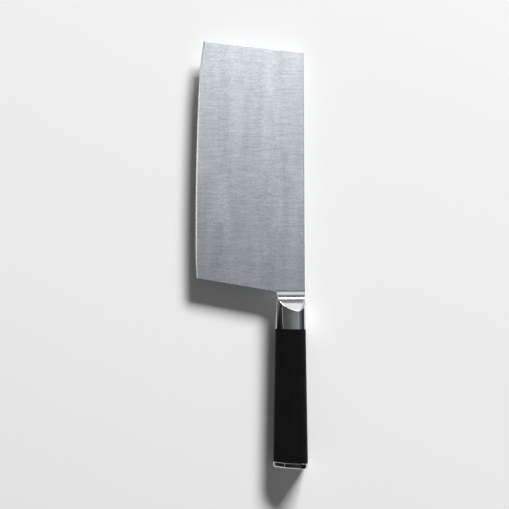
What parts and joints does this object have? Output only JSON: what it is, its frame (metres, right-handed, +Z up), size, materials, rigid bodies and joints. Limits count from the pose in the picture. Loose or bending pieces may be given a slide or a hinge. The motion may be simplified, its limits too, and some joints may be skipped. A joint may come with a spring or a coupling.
{
  "type": "chinese cleaver",
  "caption": "Rigid kitchen cleaver with a broad, thin, gently curved steel blade, a scooped polished collar, a flared black grip and a steel end cap.",
  "frame": {"origin": "middle of the knife's box in X and Y, at the lowest place of the handle as the knife lies on its right face", "axes": "+Y towards the tip, +X from the cutting edge towards the spine, +Z up, out of the blade's left face"},
  "size_m": [0.081, 0.308, 0.0188],
  "materials": {
    "satin_steel": "satin, fine grinding lines from spine to edge, polished bevel",
    "polished_steel": "mirror polished",
    "bare_steel": "as turned and cut, unpolished",
    "braze_alloy": "as cast",
    "black_wood": "resin-impregnated laminated wood, satin black",
    "epoxy": "cured epoxy"
  },
  "bodies": {
    "root": {"blade": "satin_steel", "bolster": "polished_steel", "bolster_braze": "braze_alloy", "tang_weld": "bare_steel", "tang_bar": "bare_steel", "grip": "black_wood", "tang_bedding": "epoxy", "tail_washer": "bare_steel", "tail_nut": "bare_steel", "end_cap": "polished_steel", "cap_adhesive": "epoxy"}
  },
  "joints": []
}
